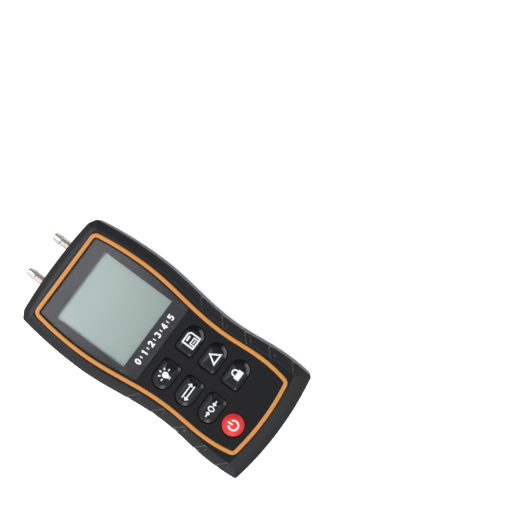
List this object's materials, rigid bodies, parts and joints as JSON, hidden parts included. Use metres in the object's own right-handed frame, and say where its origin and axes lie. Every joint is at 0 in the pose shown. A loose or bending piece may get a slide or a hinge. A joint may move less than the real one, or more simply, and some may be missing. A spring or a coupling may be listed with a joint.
{
  "type": "digital manometer",
  "caption": "Hand-held digital manometer with a large display window, rubber keys, an orange trim ring and barbed hose ports at its top end.",
  "frame": {"origin": "under the middle of the whole instrument, at the plane it lies on", "axes": "+Y towards the hose ports, +Z out of the display side, +X to the right as the display is read"},
  "size_m": [0.078, 0.1702, 0.0374],
  "materials": {
    "case_plastic": "fine moulded texture, charcoal",
    "orange_trim": "satin orange inlay",
    "clear_lens": "clear polished acrylic",
    "mask_ink": "printed dark grey border",
    "display_glass": "grey-green reflective display",
    "inner_plastic": "black moulding",
    "white_plastic": "white light guide",
    "contact_rubber": "layered contact rubber",
    "board_laminate": "green laminate with solder mask",
    "chip_plastic": "black moulded package",
    "bright_metal": "plated spring steel",
    "key_rubber": "silicone with satin coat",
    "sensor_plastic": "ivory moulded package",
    "silicone": "translucent silicone",
    "nickel_plate": "bright nickel plate on brass",
    "seal_rubber": "black nitrile",
    "cell_jacket": "plain grey cell jacket",
    "red_lead": "red wire jacket",
    "black_lead": "black wire jacket",
    "screw_steel": "zinc plated",
    "label_film": "blank satin film",
    "power_rubber": "red silicone with satin coat",
    "pill_carbon": "carbon-filled rubber"
  },
  "bodies": {
    "root": {"front_case": "case_plastic", "rear_case": "case_plastic", "trim_ring": "orange_trim", "window_lens": "clear_lens", "window_mask": "mask_ink", "lcd_glass": "display_glass", "lcd_frame": "inner_plastic", "backlight_panel": "white_plastic", "contact_strips": "contact_rubber", "main_board": "board_laminate", "processor": "chip_plastic", "memory_chip": "chip_plastic", "amplifier_chip": "chip_plastic", "quartz_crystal": "bright_metal", "capacitors": "chip_plastic", "buzzer": "inner_plastic", "keypad_mat": "key_rubber", "pressure_sensor": "sensor_plastic", "positive_tube": "silicone", "negative_tube": "silicone", "positive_port": "nickel_plate", "negative_port": "nickel_plate", "port_seals": "seal_rubber", "battery_left": "cell_jacket", "battery_middle": "cell_jacket", "battery_right": "cell_jacket", "battery_springs": "bright_metal", "contact_plates": "bright_metal", "battery_lead_red": "red_lead", "battery_lead_black": "black_lead", "case_screws": "screw_steel", "board_screws": "screw_steel", "rating_label": "label_film"},
    "backlight_button": {"backlight_key": "key_rubber", "backlight_pill": "pill_carbon"},
    "save_button": {"save_key": "key_rubber", "save_pill": "pill_carbon"},
    "unit_button": {"unit_key": "key_rubber", "unit_pill": "pill_carbon"},
    "difference_button": {"difference_key": "key_rubber", "difference_pill": "pill_carbon"},
    "zero_button": {"zero_key": "key_rubber", "zero_pill": "pill_carbon"},
    "hold_button": {"hold_key": "key_rubber", "hold_pill": "pill_carbon"},
    "power_button": {"power_key": "power_rubber", "power_pill": "pill_carbon"},
    "door": {"battery_door": "case_plastic"}
  },
  "joints": [
    {"name": "backlight_press", "type": "slide", "parent": "root", "child": "backlight_button", "axis": [0, 0, -1], "range_m": [0, 0.0012], "stiffness_N_per_m": 600, "springref_m": -0.0008},
    {"name": "save_press", "type": "slide", "parent": "root", "child": "save_button", "axis": [0, 0, -1], "range_m": [0, 0.0012], "stiffness_N_per_m": 600, "springref_m": -0.0008},
    {"name": "unit_press", "type": "slide", "parent": "root", "child": "unit_button", "axis": [0, 0, -1], "range_m": [0, 0.0012], "stiffness_N_per_m": 600, "springref_m": -0.0008},
    {"name": "difference_press", "type": "slide", "parent": "root", "child": "difference_button", "axis": [0, 0, -1], "range_m": [0, 0.0012], "stiffness_N_per_m": 600, "springref_m": -0.0008},
    {"name": "zero_press", "type": "slide", "parent": "root", "child": "zero_button", "axis": [0, 0, -1], "range_m": [0, 0.0012], "stiffness_N_per_m": 600, "springref_m": -0.0008},
    {"name": "hold_press", "type": "slide", "parent": "root", "child": "hold_button", "axis": [0, 0, -1], "range_m": [0, 0.0012], "stiffness_N_per_m": 600, "springref_m": -0.0008},
    {"name": "power_press", "type": "slide", "parent": "root", "child": "power_button", "axis": [0, 0, -1], "range_m": [0, 0.0012], "stiffness_N_per_m": 600, "springref_m": -0.0008},
    {"name": "door_slide", "type": "slide", "parent": "root", "child": "door", "axis": [0, -1, 0], "range_m": [0, 0.06]}
  ]
}
